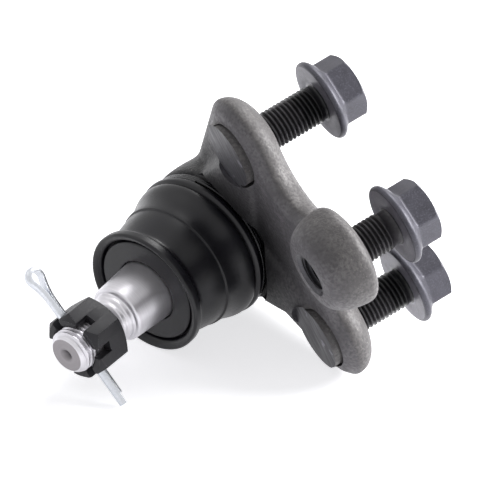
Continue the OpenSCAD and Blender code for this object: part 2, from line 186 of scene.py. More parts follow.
class BoltLook(bpy.types.PropertyGroup):
    """Sizes in millimetres and colours of the three flange bolts."""
    diameter: length_prop("Diameter", "Nominal diameter", 12)
    pitch: length_prop("Pitch", "Thread pitch", 1.4)
    length: length_prop("Length", "Length under the head", 25)
    flange_diameter: length_prop("Flange diameter", "Diameter of the bolts' flanges", 25.6)
    flats: length_prop("Flats", "Width across the flats of the heads", 18)
    head_height: length_prop("Head height", "Height of a head over its bearing face", 11.8)
    head: colour_prop("Head", "Grey phosphate of the heads", "#4e4d56")
    face: colour_prop("Face", "Bearing face of the flanges", "#78767f")
    thread: colour_prop("Thread", "Oiled thread", "#413f42")
    locker: colour_prop("Locker", "Black locking patch on the threads", "#121214")


class StageLook(bpy.types.PropertyGroup):
    """Camera, floor and light."""
    lens: FloatProperty(name="Lens", description="Focal length of the camera", default=622.82, unit="CAMERA")
    distance: FloatProperty(name="Distance", description="Camera to the middle of the view", default=2.5,
                            unit="LENGTH")
    floor: colour_prop("Floor", "Pale floor", "#f4f4f6")


def add_node(tree, kind, settings=None, inputs=None):
    """Adds a node; settings are its own properties, inputs are values or other nodes' outputs."""
    node = tree.nodes.new(kind)
    for name, value in (settings or {}).items():
        setattr(node, name, value)
    for name, value in (inputs or {}).items():
        if isinstance(value, bpy.types.NodeSocket):
            tree.links.new(value, node.inputs[name])
        else:
            node.inputs[name].default_value = value
    return node


def empty_tree(owner):
    """The node tree of a material or world, with nothing in it."""
    owner.use_nodes = True
    owner.node_tree.nodes.clear()
    return owner.node_tree


def new_material(name, settings, *grains):
    """A material with a Principled shader: returns it, its tree, shader, Object coordinates and noises.

    Settings are plain values of the shader's sockets. A grain is a noise's size, in millimetres, and detail.
    """
    material = bpy.data.materials.new(name)
    tree = empty_tree(material)
    shader = add_node(tree, "ShaderNodeBsdfPrincipled", inputs=settings)
    add_node(tree, "ShaderNodeOutputMaterial", inputs={"Surface": shader.outputs["BSDF"]})
    place = add_node(tree, "ShaderNodeTexCoord").outputs["Object"]
    noises = [add_node(tree, "ShaderNodeTexNoise", inputs={
        "Vector": place, "Scale": per_mm(size), "Detail": detail}).outputs[0] for size, detail in grains]
    return material, tree, shader, place, noises


def two_tone(tree, pattern, low, high, first, second):
    """A colour that passes from first to second while a pattern rises from low to high."""
    share = add_node(tree, "ShaderNodeMapRange", inputs={"Value": pattern, "From Min": low, "From Max": high})
    inputs = {0: share.outputs[0], 6: first, 7: second}
    return add_node(tree, "ShaderNodeMix", {"data_type": "RGBA"}, inputs).outputs[2]


def scaled(colour, share):
    """A colour made lighter or darker, held below white."""
    return [min(1, c * share) for c in colour[:3]] + [1]


def finish_surface(tree, shader, tone, pattern, roughness, layers=()):
    """Links tone, roughness by a pattern, and bumps: each layer is a height and its depth in millimetres."""
    tree.links.new(tone, shader.inputs["Base Color"])
    low, high = roughness
    spread = {"Value": pattern, "From Min": 0.3, "From Max": 0.7, "To Min": low, "To Max": high}
    rough = add_node(tree, "ShaderNodeMapRange", inputs=spread)
    tree.links.new(rough.outputs[0], shader.inputs["Roughness"])
    normal = None
    for height, depth in layers:
        inputs = {"Height": height, "Distance": depth * MM}
        if normal:
            inputs["Normal"] = normal
        normal = add_node(tree, "ShaderNodeBump", inputs=inputs).outputs["Normal"]
    if normal:
        tree.links.new(normal, shader.inputs["Normal"])


def from_stud_axis(tree, place):
    """Distance from the stud's axis and height along it from the ball's centre, in metres."""
    offset = add_node(tree, "ShaderNodeVectorMath", {"operation": "SUBTRACT"},
                      {0: place, 1: tuple(ball_centre * MM)}).outputs["Vector"]
    axis = tuple(stud_axis)
    along = add_node(tree, "ShaderNodeVectorMath", {"operation": "DOT_PRODUCT"}, {0: offset, 1: axis})
    across = add_node(tree, "ShaderNodeVectorMath", {"operation": "CROSS_PRODUCT"}, {0: offset, 1: axis})
    away = add_node(tree, "ShaderNodeVectorMath", {"operation": "LENGTH"}, {0: across.outputs["Vector"]})
    return away.outputs["Value"], along.outputs["Value"]


def forged_skin(look):
    """Hot-forged steel, blasted and phosphated: matt warm grey, gritty, rubbed on edges, with painted light
    on the sideways-facing rims, oily and in painted shade by the boot.
    """
    material, tree, shader, place, (cloud, grit, speck) = new_material(
        "forged_steel_phosphated", {"Metallic": 0.15}, (7, 5), (0.9, 4), (0.6, 2))
    away, _ = from_stud_axis(tree, place)
    facing = add_node(tree, "ShaderNodeNewGeometry").outputs["Normal"]
    upward = add_node(tree, "ShaderNodeSeparateXYZ", inputs={0: facing}).outputs["Z"]
    # Painted light: surfaces facing away from Z take the rim colour, for the lamps' light on the rolled
    # edges.
    tone = two_tone(tree, upward, 0.85, 0.2, look.skin, look.rim)
    # Oil and painted shade: the skin darkens towards the stud's axis, under the boot.
    tone = two_tone(tree, away, 0.05, 0.028, tone, look.oil_and_shade)
    soot = (0.55, 0.55, 0.56, 1)
    darker = add_node(tree, "ShaderNodeMix", {"data_type": "RGBA", "blend_type": "MULTIPLY"},
                      {0: 1.0, 6: tone, 7: soot}).outputs[2]
    tone = two_tone(tree, grit, 0.62, 0.36, tone, darker)
    tone = two_tone(tree, cloud, 0.62, 0.3, tone, darker)
    band = add_node(tree, "ShaderNodeMapRange", inputs={"Value": upward, "From Min": 0.7, "From Max": 0.2})
    rub = add_node(tree, "ShaderNodeMath", {"operation": "MULTIPLY"}, {0: band.outputs[0], 1: speck})
    tone = two_tone(tree, rub.outputs[0], 0.58, 1.0, tone, look.rubbed)
    finish_surface(tree, shader, tone, grit, (0.62, 0.46), [(cloud, 0.45), (grit, 0.16)])
    return material


def trimmed_steel(look):
    """Sheared and ground steel: long streaks with light torn patches."""
    material, tree, shader, place, (torn,) = new_material("trimmed_steel", {"Metallic": 0.3}, (5, 4))
    turned = add_node(tree, "ShaderNodeMapping", inputs={
        "Vector": place, "Rotation": (0.0, 0.0, math.radians(-58)), "Scale": (0.12, 1.0, 1.0)}).outputs[0]
    streaks = add_node(tree, "ShaderNodeTexNoise", inputs={
        "Vector": turned, "Scale": per_mm(1.3), "Detail": 3}).outputs[0]
    tone = two_tone(tree, streaks, 0.4, 0.75, look.trimmed, scaled(look.trimmed, 1.7))
    tone = two_tone(tree, torn, 0.63, 0.68, tone, scaled(look.trimmed, 4.5))
    finish_surface(tree, shader, tone, streaks, (0.55, 0.38), [(torn, 0.2), (streaks, 0.06)])
    return material


def ground_steel(look):
    """Ground and superfinished steel: bright and satin, with hair-fine marks around the stud."""
    material, tree, shader, place, _ = new_material("ground_steel", {"Metallic": 0.85})
    _, along = from_stud_axis(tree, place)
    rings = add_node(tree, "ShaderNodeTexNoise", {"noise_dimensions": "1D"},
                     {"W": along, "Scale": per_mm(0.35), "Detail": 3}).outputs[0]
    tone = two_tone(tree, rings, 0.3, 0.8, look.steel, scaled(look.steel, 0.9))
    finish_surface(tree, shader, tone, rings, (0.33, 0.41))
    return material


def turned_end(look):
    """Turned steel end face: satin grey with rings about the centre mark, darkened into the mark as painted
    shade.
    """
    material, tree, shader, place, _ = new_material("turned_steel_end", {"Metallic": 0.8})
    away, _ = from_stud_axis(tree, place)
    rings = add_node(tree, "ShaderNodeTexNoise", {"noise_dimensions": "1D"},
                     {"W": away, "Scale": per_mm(0.5), "Detail": 2}).outputs[0]
    # Painted shade: the colour darkens to a third inside the centre mark's recess.
    tone = two_tone(tree, away, 0.0006, 0.0024, scaled(look.end_face, 0.35), look.end_face)
    finish_surface(tree, shader, tone, rings, (0.42, 0.58), [(rings, 0.02)])
    return material


def powdery_steel(name, colour, roughness, metallic, depth=0.04):
    """Phosphated or scaled steel: matt, clouded, with a fine powdery grain."""
    material, tree, shader, _, (cloud, fine) = new_material(name, {"Metallic": metallic}, (3.5, 4), (0.5, 2))
    tone = two_tone(tree, cloud, 0.35, 0.7, colour, scaled(colour, 0.72))
    tone = two_tone(tree, fine, 0.5, 0.95, tone, scaled(colour, 1.9))
    layers = [(cloud, depth), (fine, depth / 2)]
    finish_surface(tree, shader, tone, fine, (roughness, roughness + 0.16), layers)
    return material


def mottled(name, settings, grain, spread, first, second, roughness, depth=None):
    """A plain finish: colour and roughness follow one fine noise, which may also be a bump of some depth."""
    material, tree, shader, _, (mottle,) = new_material(name, settings, grain)
    tone = two_tone(tree, mottle, *spread, first, second)
    finish_surface(tree, shader, tone, mottle, roughness, [(mottle, depth)] if depth else ())
    return material


def spring_steel(name, hex_colour, roughness):
    """Plain spring steel inside the joint: even grey with a light mottle."""
    colour = linear(hex_colour)
    return mottled(name, {"Metallic": 0.9}, (1.2, 3), (0.3, 0.7), colour, scaled(colour, 0.75),
                   (roughness, roughness + 0.15), 0.02)


def moulded_rubber(look):
    """Moulded chloroprene rubber: satin black with a faint grey bloom and a very fine texture."""
    material, tree, shader, _, (cloud, fine) = new_material(
        "moulded_rubber", {"IOR": 1.42}, (11, 3), (0.6, 2))
    tone = two_tone(tree, cloud, 0.4, 0.75, look.rubber, look.bloom)
    finish_surface(tree, shader, tone, fine, (0.3, 0.4), [(cloud, 0.06), (fine, 0.008)])
    return material


def bolt_thread(look, name, face_z, patch_from, patch_to):
    """Rolled thread, oiled, with a black locking patch between two heights from the bearing face."""
    material, tree, shader, place, (ragged, fine) = new_material(name, {"Metallic": 0.4}, (3, 3), (0.9, 2))
    level = add_node(tree, "ShaderNodeSeparateXYZ", inputs={0: place}).outputs["Z"]
    wander = 4
    edge = add_node(tree, "ShaderNodeMath", {"operation": "MULTIPLY_ADD"},
                    {0: ragged, 1: wander * MM, 2: level}).outputs[0]
    steel = two_tone(tree, fine, 0.3, 0.7, look.thread, scaled(look.thread, 0.6))
    soft = 0.6 * MM
    start, end = ((face_z + height + wander / 2) * MM for height in (patch_from, patch_to))
    below = two_tone(tree, edge, end - soft, end + soft, look.locker, steel)
    tone = two_tone(tree, edge, start - soft, start + soft, steel, below)
    finish_surface(tree, shader, tone, fine, (0.3, 0.42))
    return material


class Shell:
    """Points and faces of one piece, in millimetres of its own frame, gathered patch by patch."""

    def __init__(self):
        self.points = []
        self.faces = []
        self.finishes = []

    def grid(self, points, finish=0, wrap=True, shift=0):
        """Adds rows of points; shift joins the last column to a row that much higher, as on a helix."""
        rows, columns = points.shape[:2]
        index = len(self.points) + np.arange(rows * columns).reshape(rows, columns)
        self.points.extend(points.reshape(-1, 3))
        for column in range(columns if wrap else columns - 1):
            after = (column + 1) % columns
            lift = shift if after == 0 else 0
            for row in range(rows - 1 - lift):
                self.faces.append((index[row, column], index[row + lift, after],
                                   index[row + 1 + lift, after], index[row + 1, column]))
                self.finishes.append(finish)
        return index

    def rings(self, outline, angles, finish=0):
        """Adds rings about Z; an outline row is a radius and a height, each a number or one per angle."""
        rows = np.array([[np.broadcast_to(part, angles.shape) for part in row] for row in outline], float)
        points = np.stack([rows[:, 0] * np.cos(angles), rows[:, 0] * np.sin(angles), rows[:, 1]], axis=2)
        return self.grid(points, finish)

    def thread(self, crest, root, pitch, low, high, envelope, angles, finish=0, fade=0.0):
        """Adds a helical thread between two heights, held inside an envelope of radius by height."""
        steps, flank, root_flat = 8, 1.45, 0.12
        turns = int(math.ceil((high - low) / pitch)) + 2
        row = np.arange(turns * steps + 1)[:, None]
        column = np.arange(len(angles))[None, :] / len(angles)
        height = low + pitch * (row / steps + column - 1)
        phase = np.broadcast_to(row / steps % 1, height.shape)
        ridge = np.clip(flank * (1 - np.abs(2 * phase - 1)) - root_flat, 0, 1)
        grown = np.clip((height - low) / fade, 0, 1) if fade else 1.0
        height = np.clip(height, low, high)
        radius = crest - (crest - root) * (1 - ridge) * grown
        radius = np.minimum(radius, np.interp(height, *envelope))
        points = np.stack([radius * np.cos(angles), radius * np.sin(angles), height], axis=2)
        self.grid(points, finish, True, steps)

    def cap(self, *loops, finish=0):
        """Closes loops of points with one face each."""
        for loop in loops:
            self.faces.append(tuple(loop))
            self.finishes.append(finish)

    def build(self, name, place, materials):
        """Makes the piece's object, with its place in its mesh."""
        mesh = bpy.data.meshes.new(name)
        mesh.from_pydata([tuple(p) for p in self.points], [], [tuple(map(int, f)) for f in self.faces])
        dress(mesh, materials)
        mesh.polygons.foreach_set("material_index", self.finishes)
        settle(mesh, place @ Matrix.Scale(MM, 4), 1 / MM)
        return add_object(name, mesh)


def dress(mesh, materials):
    """Gives the mesh these materials in place of its own; all its faces take the first."""
    mesh.materials.clear()
    for material in materials:
        mesh.materials.append(material)


def settle(mesh, place, unit=1.0):
    """Merges doubles, turns faces outward, puts the mesh in its place and shades it; units to a metre."""
    work = bmesh.new()
    work.from_mesh(mesh)
    bmesh.ops.remove_doubles(work, verts=work.verts, dist=1e-7 * unit)
    bmesh.ops.dissolve_degenerate(work, edges=work.edges, dist=1e-8 * unit)
    bmesh.ops.recalc_face_normals(work, faces=work.faces)
    work.to_mesh(mesh)
    work.free()
    mesh.transform(place)
    shade(mesh)


def add_object(name, data):
    """An object with this data, linked to the scene."""
    obj = bpy.data.objects.new(name, data)
    bpy.context.scene.collection.objects.link(obj)
    return obj


def moved(x=0.0, y=0.0, z=0.0):
    """Matrix that moves a piece by millimetres."""
    return Matrix.Translation((x * MM, y * MM, z * MM))


def rotated(degrees, axis):
    """Matrix that turns a piece about one of its axes."""
    return Matrix.Rotation(math.radians(degrees), 4, axis)


def shade(mesh):
    """Smooth shading, broken at sharp edges."""
    mesh.shade_smooth()
    mesh.set_sharp_from_angle(angle=SMOOTH_ANGLE)


def object_of(work, name):
    """An object with a mesh made of a bmesh, which is freed."""
    mesh = bpy.data.meshes.new(name)
    work.to_mesh(mesh)
    work.free()
    return add_object(name, mesh)


def evaluated_mesh(obj):
    """A plain mesh of the object as its modifiers leave it."""
    graph = bpy.context.evaluated_depsgraph_get()
    return bpy.data.meshes.new_from_object(obj.evaluated_get(graph))


def bake(obj):
    """Gives the object its evaluated mesh and drops its modifiers."""
    mesh, old = evaluated_mesh(obj), obj.data
    obj.modifiers.clear()
    obj.data = mesh
    bpy.data.meshes.remove(old)


def coordinates(mesh):
    """Points of a mesh as an array of rows."""
    points = np.empty(len(mesh.vertices) * 3)
    mesh.vertices.foreach_get("co", points)
    return points.reshape(-1, 3)


def cut_away(obj, cutters, solver="EXACT"):
    """Cuts closed shapes out of an object; the new faces take the cutters' finishes."""
    before = len(obj.data.polygons)
    for cutter in cutters:
        modifier = obj.modifiers.new("cut", "BOOLEAN")
        modifier.operation = "DIFFERENCE"
        modifier.solver = solver
        modifier.object = cutter
    bake(obj)
    for cutter in cutters:
        bpy.data.objects.remove(cutter)
    if len(obj.data.polygons) in (0, before):
        raise RuntimeError(f"the cuts of {obj.name} failed")
    shade(obj.data)


# Frame in metres at the ball's centre: Z along the stud, X the model's own.
across_stud = stud_axis.cross(Vector((1, 0, 0))).normalized()
stud_turn = Matrix((across_stud.cross(stud_axis), across_stud, stud_axis)).transposed()
stud_frame = moved(*ball_centre) @ stud_turn.to_4x4()


def circle(steps):
    """Angles of the steps round a circle."""
    return np.arange(steps) * TURN / steps


def hexagon_angles(turn, per_side, corner=math.radians(1.6)):
    """Angles around a hexagon with a narrow facet on each corner."""
    side = np.linspace(corner, math.radians(60) - corner, per_side)
    return np.concatenate([turn + math.radians(60 * k) + side for k in range(6)])


def hexagon_radius(angles, turn, flats):
    """Radius of a hexagon at some angles, with its first corner at turn."""
    within = np.mod(angles - turn, math.radians(60)) - math.radians(30)
    return flats / 2 / np.cos(within)


def rounded(points, radius, steps=4):
    """Outline with its corners eased: each corner becomes a curve no longer than half its sides."""
    eased = [points[0]]
    for before, corner, after in zip(points, points[1:], points[2:]):
        before, corner, after = (np.array(p, float) for p in (before, corner, after))
        back, ahead = before - corner, after - corner
        reach = min(radius, np.linalg.norm(back) / 2, np.linalg.norm(ahead) / 2)
        start = corner + back / np.linalg.norm(back) * reach
        end = corner + ahead / np.linalg.norm(ahead) * reach
        for t in np.linspace(0, 1, steps + 1):
            eased.append(tuple((1 - t) ** 2 * start + 2 * t * (1 - t) * corner + t * t * end))
    eased.append(points[-1])
    return eased


def curve(start, first, second, end, steps=14):
    """Points of a smooth curve between two points, led by two handles."""
    ends = [np.array(p, float) for p in (start, first, second, end)]
    shares = [((1 - t) ** 3, 3 * t * (1 - t) ** 2, 3 * t * t * (1 - t), t ** 3)
              for t in np.linspace(0, 1, steps)]
    return [tuple(sum(s * e for s, e in zip(share, ends))) for share in shares]


def arc_points(centre, radius, start, end, steps=28):
    """Points of an arc from one angle to another."""
    return [(centre[0] + radius * math.cos(a), centre[1] + radius * math.sin(a))
            for a in np.linspace(start, end, steps)]


def closed_lathe(name, outline, place, materials, steps=96, finish=0):
    """Solid of revolution from an outline that starts and ends on the axis."""
    shell = Shell()
    shell.rings(outline, circle(steps), finish)
    return shell.build(name, place, materials)


def closed_box(name, low, high, place, materials, finish=0):
    """Box between two corners."""
    shell = Shell()
    corners = [(low[0], low[1]), (high[0], low[1]), (high[0], high[1]), (low[0], high[1])]
    index = shell.grid(np.array([[(x, y, z) for x, y in corners] for z in (low[2], high[2])], float), finish)
    shell.cap(*index, finish=finish)
    return shell.build(name, place, materials)


def nodes_tree(name, inputs):
    """A Geometry Nodes tree with named inputs: each a name, a socket kind and a default."""
    tree = bpy.data.node_groups.new(name, "GeometryNodeTree")
    tree.interface.new_socket("Geometry", in_out="INPUT", socket_type="NodeSocketGeometry")
    for label, kind, default in inputs:
        tree.interface.new_socket(label, in_out="INPUT", socket_type=kind).default_value = default
    tree.interface.new_socket("Geometry", in_out="OUTPUT", socket_type="NodeSocketGeometry")
    return tree, add_node(tree, "NodeGroupInput")


def finish_tree(tree, path, profile, caps, material):
    """Ends a tree with a profile swept along a path, as real geometry with its material."""
    swept = add_node(tree, "GeometryNodeCurveToMesh", inputs={
        "Curve": path, "Profile Curve": profile, "Fill Caps": caps})
    real = add_node(tree, "GeometryNodeRealizeInstances", inputs={"Geometry": swept.outputs["Mesh"]})
    dressed = add_node(tree, "GeometryNodeSetMaterial", inputs={
        "Geometry": real.outputs["Geometry"], "Material": material})
    add_node(tree, "NodeGroupOutput", inputs={"Geometry": dressed.outputs["Geometry"]})
    return tree


def grow(name, tree, values, place, outline=None, closed=True):
    """Runs a tree on an outline curve, or on nothing, and returns the result in its place as a plain mesh."""
    if outline is None:
        data = bpy.data.meshes.new(name)
    else:
        data = bpy.data.curves.new(name, "CURVE")
        data.dimensions = "3D"
        spline = data.splines.new("POLY")
        spline.points.add(len(outline) - 1)
        for point, (x, y) in zip(spline.points, outline):
            point.co = (x * MM, y * MM, 0, 1)
        spline.use_cyclic_u = closed
    source = add_object(name + "_source", data)
    modifier = source.modifiers.new("grow", "NODES")
    modifier.node_group = tree
    sockets = {item.name: item.identifier for item in tree.interface.items_tree if item.in_out == "INPUT"}
    for label, value in values.items():
        modifier[sockets[label]] = value
    mesh = evaluated_mesh(source)
    bpy.data.objects.remove(source)
    if not mesh.polygons:
        raise RuntimeError(f"the tree of {name} made no faces")
    settle(mesh, place)
    return add_object(name, mesh)


def relax(points, edges, corners, rounds, outward_only):
    """Moves each point towards its neighbours' middle; outward_only fills creases and keeps ridges."""
    count = len(points)
    reach = 0.8
    start, end = edges[:, 0], edges[:, 1]
    valence = np.bincount(edges.ravel(), minlength=count)[:, None]
    for _ in range(rounds):
        middle = np.empty_like(points)
        for k in range(3):
            middle[:, k] = (np.bincount(start, points[end, k], count)
                            + np.bincount(end, points[start, k], count))
        step = middle / valence - points
        if outward_only:
            across = np.cross(points[corners[:, 2]] - points[corners[:, 0]],
                              points[corners[:, 3]] - points[corners[:, 1]])
            normal = np.empty_like(points)
            for k in range(3):
                normal[:, k] = np.bincount(corners.ravel(), np.repeat(across[:, k], 4), count)
            normal /= np.linalg.norm(normal, axis=1)[:, None] + 1e-12
            step = normal * np.maximum((step * normal).sum(1), 0)[:, None]
        points = points + step * reach
    return points


def direction(start, end):
    """Angle of the line from one point to another."""
    return math.atan2(end[1] - start[1], end[0] - start[0])


def flange_outline(look, inset):
    """Outline of the flange, drawn in by inset: boss, hollow, lobe and the run to the socket, both sides."""
    side_x, end_y = bolt_places()
    lobe, boss, socket = (-side_x, 0.0), (0.0, end_y), (0.0, ball_centre.y - 2)
    far_lobe = look.lobe_radius + look.hollow_radius
    far_boss = look.boss_radius + look.hollow_radius
    span = math.dist(lobe, boss)
    along = (span ** 2 + far_lobe ** 2 - far_boss ** 2) / (2 * span)
    turn = direction(lobe, boss) + math.acos(along / far_lobe)
    hollow = (lobe[0] + far_lobe * math.cos(turn), lobe[1] + far_lobe * math.sin(turn))
    tangent = direction(lobe, socket)
    tangent -= math.acos((look.lobe_radius - look.socket_radius) / math.dist(lobe, socket))
    half = arc_points(boss, look.boss_radius - inset, TURN / 4, direction(boss, hollow))
    half += arc_points(hollow, look.hollow_radius + inset, direction(hollow, boss), direction(hollow, lobe))
    half += arc_points(lobe, look.lobe_radius - inset, direction(lobe, hollow), tangent + TURN)
    half += arc_points(socket, look.socket_radius - inset, tangent, -TURN / 4)
    return half + [(-x, y) for x, y in reversed(half[1:-1])]


def flange_plate(look):
    """The flange with its rolled rear edge, its rim and its chamfered front edge."""
    rows = [(look.edge_width * (1 - math.sin(a)), look.rim_height * (1 - math.cos(a)))
            for a in np.radians(np.arange(0, 91, 10))]
    rows += [(0.0, look.rim_height + 0.8), (look.front_chamfer, look.lobe_height)]
    points = np.array([[(x, y, height) for x, y in flange_outline(look, inset)] for inset, height in rows])
    rise_from, rise_over = 20, 11
    share = np.clip((points[:, :, 1] - rise_from) / rise_over, 0, 1)
    rise = look.boss_rear * share * share * (3 - 2 * share)
    points[:, :, 2] += rise * np.clip(1 - points[:, :, 2] / look.rim_height, 0, 1)
    shell = Shell()
    index = shell.grid(points)
    shell.cap(index[0], index[-1])
    return shell.build("plate", moved(), [])


def ridge(look, side):
    """The ridge from the socket's shoulder to the inner half of a pad."""
    side_x, _ = bolt_places()
    points = []
    for radius, height in ((7.5, 1.0), (6.5, look.pad_height - 1.2)):
        ring = arc_points((0, 0), radius, 0, TURN, 33)
        points += [(side * (side_x - 8.5) + x, y - 3, height) for x, y in ring]
    for radius, height in ((20.0, -8), (17.6, 2)):
        ring = arc_points((0, 0), radius, 0, TURN, 65)
        points += [tuple(stud_frame @ (Vector((x, y, height)) * MM) / MM) for x, y in ring]
    work = bmesh.new()
    verts = [work.verts.new(Vector(p) * MM) for p in points]
    hull = bmesh.ops.convex_hull(work, input=verts)
    spare = {v for v in hull["geom_interior"] + hull["geom_unused"] if isinstance(v, bmesh.types.BMVert)}
    bmesh.ops.delete(work, geom=list(spare), context="VERTS")
    return object_of(work, "ridge")


def forging_blank(look):
    """Flange, boss, pads, ridges and socket before machining, as one object of overlapping closed shapes."""
    side_x, end_y = bolt_places()
    parts = [flange_plate(look)]
    top = look.pad_height + 2.5
    pad_r = look.pad_diameter / 2 + 0.1
    for side in (-1, 1):
        parts.append(ridge(look, side))
        pad = [(0, 5), (pad_r, 5), (pad_r, top), (0, top)]
        parts.append(closed_lathe("pad", pad, moved(side * side_x), []))
    full, high, rear = look.boss_radius, look.boss_height, look.boss_rear
    boss = [(0, rear), (full - 7.0, rear), (full - 3.4, rear + 0.9), (full - 0.8, rear + 2.1),
            (full + 0.2, rear + 3.6), (full + 0.3, rear + 5), (full, 9.5), (full - 0.5, high - 6.2),
            (full - 1.5, high - 3.6), (full - 3.0, high - 1.4), (full - 4.6, high - 0.3), (full - 6.2, high),
            (0, high)]
    parts.append(closed_lathe("boss", boss, moved(0, end_y), []))
    rim_r, rim_z = 15.2, -12.9
    socket = [(0, rim_z - 4.5), (rim_r, rim_z - 4.5)]
    socket += [(rim_r + 4.6 * math.cos(a), rim_z + 4.5 * math.sin(a))
               for a in np.radians(np.arange(-75, 1, 15))]
    socket += [(21.6, -9), (22.8, -1.5), (23.1, 2.5), (23.1, 5.0), (22.7, 5.6), (0, 5.6)]
    parts.append(closed_lathe("socket", socket, stud_frame, []))
    work = bmesh.new()
    for part in parts:
        work.from_mesh(part.data)
        bpy.data.objects.remove(part)
    return object_of(work, "forging")


def bolt_places():
    """Half the pitch of the side bolts, and the end bolt's distance, from the CAD bolts."""
    low, high = node_span("flange_bolt_second")
    end_low, end_high = node_span("flange_bolt_end")
    return (low.x + high.x) / 2, (end_low.y + end_high.y) / 2


def crescent(name, place, radius, outline, start, end, steps, materials):
    """Closed groove round a pad: inner wall 0, the rest 3, painted shade; it swells from nothing to full
    width and back.
    """
    shell = Shell()
    angles = np.linspace(start, end, steps)
    swell = np.sin(np.linspace(0.02, math.pi - 0.02, steps)) ** 0.7
    rows = np.array(outline, float)
    out = radius + np.where(rows[:, :1] > 0, rows[:, :1] * swell, rows[:, :1])
    points = np.stack([out * np.cos(angles), out * np.sin(angles), rows[:, 1:] * np.ones(steps)], axis=2)
    index = shell.grid(points, 3, False)
    shell.grid(points[[-1, 0]], 0, False)
    shell.cap(index[:, 0], index[:, -1], finish=3)
    return shell.build(name, place, materials)


def forging_cutters(look, materials):
    """What machining and trimming take off the forging: 1 trimmed, 2 bored, 3 the groove's near-black painted
    shade.
    """
    side_x, _ = bolt_places()
    cutters = []
    pad_r = look.pad_diameter / 2
    top = look.pad_height - 0.06
    foot = look.lobe_height - 0.3
    face = [(0, top), (pad_r + 0.5, top), (pad_r + 0.5, top + 20), (0, top + 20)]
    groove = [(-0.12, foot), (0.45, foot), (1.05, foot + 0.6), (2.1, top + 0.3), (-0.12, top + 0.3)]
    hole = HOLE_MOUTH + [(HOLE_R, 11.5), (0, 11.5)]
    for side, ends in ((-1, (-6, 176)), (1, (4, 168))):
        place = moved(side * side_x)
        cutters.append(closed_lathe("pad_face", face, place, materials, finish=1))
        start, end = map(math.radians, ends)
        cutters.append(crescent("pad_groove", place, pad_r, groove, start, end, 67, materials))
        cutters.append(closed_lathe("blind_hole", hole, place, materials, 64, 2))
    cavity = [(0, -30), (14.5, -30), (14.5, -16.5), (16, -16.5), (16, -14.5), (14.9, -14.5), (14.9, 6.05),
              (11.8, 6.05), (11.8, 8.2), (15.2, 10.4), (18.7, 10.4), (19.5, 9.6), (19.5, 5.6), (22.2, 5.6),
              (22.6, 5.2), (23.6, 5.2), (24.6, 6.2), (25.4, 9), (25.6, 37.7), (0, 37.7)]
    cutters.append(closed_lathe("socket_room", cavity, stud_frame, materials, 160))
    return cutters


def end_hole_cutter(look, end_y, materials):
    """The tapped hole of the end boss, with its thread above the bolt's end and a chamfer on top."""
    top = look.boss_height
    chamfer, bolt_end = 0.9, 14.6
    angles = circle(72)
    shell = Shell()
    shell.rings(HOLE_MOUTH + [(HOLE_R, bolt_end)], angles, 2)
    shell.thread(HOLE_R, HOLE_R - 0.7, 1.4, bolt_end, top - chamfer, ([0, 30], [9, 9]), angles, 2, 0.7)
    shell.rings([(HOLE_R, top - chamfer), (HOLE_R + 1 + chamfer, top + 1), (0, top + 1)], angles, 2)
    return shell.build("end_hole", moved(0, end_y), materials)


class BALLJOINT_OT_forging(bpy.types.Operator):
    """Makes the forged housing with its fillets, pads, boss and machined faces"""
    bl_idname = "balljoint.forging"
    bl_label = "Forged housing"

    def execute(self, context):
        look = context.scene.balljoint_forging
        obj = forging_blank(look)
        remesh = obj.modifiers.new("skin", "REMESH")
        remesh.mode = "VOXEL"
        remesh.voxel_size = look.voxel * MM
        bake(obj)
        mesh = obj.data
        points = coordinates(mesh)
        edges = np.array([list(edge.vertices) for edge in mesh.edges])
        corners = np.array([list(face.vertices) for face in mesh.polygons if len(face.vertices) == 4])
        for rounds, outward_only in ((3, False), (look.crease_rounds, True), (1, False)):
            points = relax(points, edges, corners, rounds, outward_only)
        mesh.vertices.foreach_set("co", points.ravel())
        materials = [forged_skin(look), trimmed_steel(look),
                     powdery_steel("bored_steel", linear("#4a494d"), 0.35, 0.6),
                     # Near-black steel in the grooves round the pads: painted shade at the pads' feet.
                     powdery_steel("groove_painted_shade", linear("#19181a"), 0.6, 0.0)]
        dress(mesh, materials)
        below = closed_box("arm_face", (-60, -20.5, -20), (60, 70, 0.08), moved(), materials, 1)
        cut_away(obj, [below], "MANIFOLD")
        cut_away(obj, forging_cutters(look, materials), "MANIFOLD")
        cut_away(obj, [end_hole_cutter(look, bolt_places()[1], materials)])
        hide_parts("housing")
        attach(obj, "socket")
        return {"FINISHED"}


